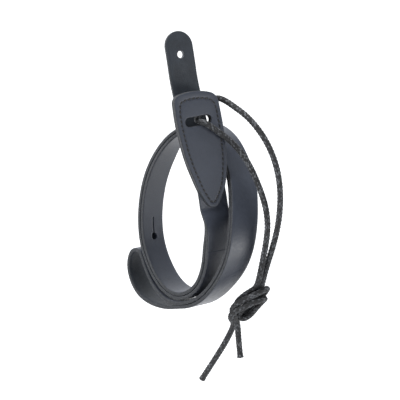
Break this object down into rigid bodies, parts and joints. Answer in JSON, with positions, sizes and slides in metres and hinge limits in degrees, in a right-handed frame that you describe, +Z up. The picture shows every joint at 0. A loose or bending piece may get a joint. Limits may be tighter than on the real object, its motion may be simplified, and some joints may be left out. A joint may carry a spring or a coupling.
{
  "type": "narrow leather instrument strap",
  "caption": "Narrow leather instrument strap, folded double and coiled, with a button hole tab, a keyhole slit, a stitched slotted head and a knotted round tie cord.",
  "frame": {"origin": "centre of the button hole in the tail tab, at the middle of the leather's thickness", "axes": "+Z up as the strap hangs from the tab, X across the coil in its plane, Y along the coil's axis, from the near rim to the far rim"},
  "size_m": [0.102, 0.0545, 0.2234],
  "materials": {
    "strap_leather": "smooth satin grain, raw flesh side",
    "panel_leather": "fine pebbled satin grain",
    "thread": "waxed thread",
    "cord": "round braid"
  },
  "bodies": {
    "strap": {"strap": "strap_leather"},
    "head": {"strap_head_end": "strap_leather", "head_front_panel": "panel_leather", "head_back_panel": "panel_leather", "needle_thread": "thread", "bobbin_thread": "thread"},
    "tie_cord": {"cord_front_run": "cord", "cord_back_run": "cord", "cord_knot": "cord", "cord_tail_short": "cord", "cord_tail_long": "cord"}
  },
  "joints": [
    {"name": "head_flex", "type": "hinge", "parent": "strap", "child": "head", "pos_m": [0.02746, 0.00251, -0.09808], "axis": [0.3077, 0.9492, 0.0661], "range_deg": [0, 12], "stiffness_Nm_per_rad": 0.02},
    {"name": "cord_swing", "type": "hinge", "parent": "head", "child": "tie_cord", "pos_m": [0.01657, -0.00122, -0.04041], "axis": [0.9218, -0.3677, 0.1227], "range_deg": [0, 25]}
  ]
}
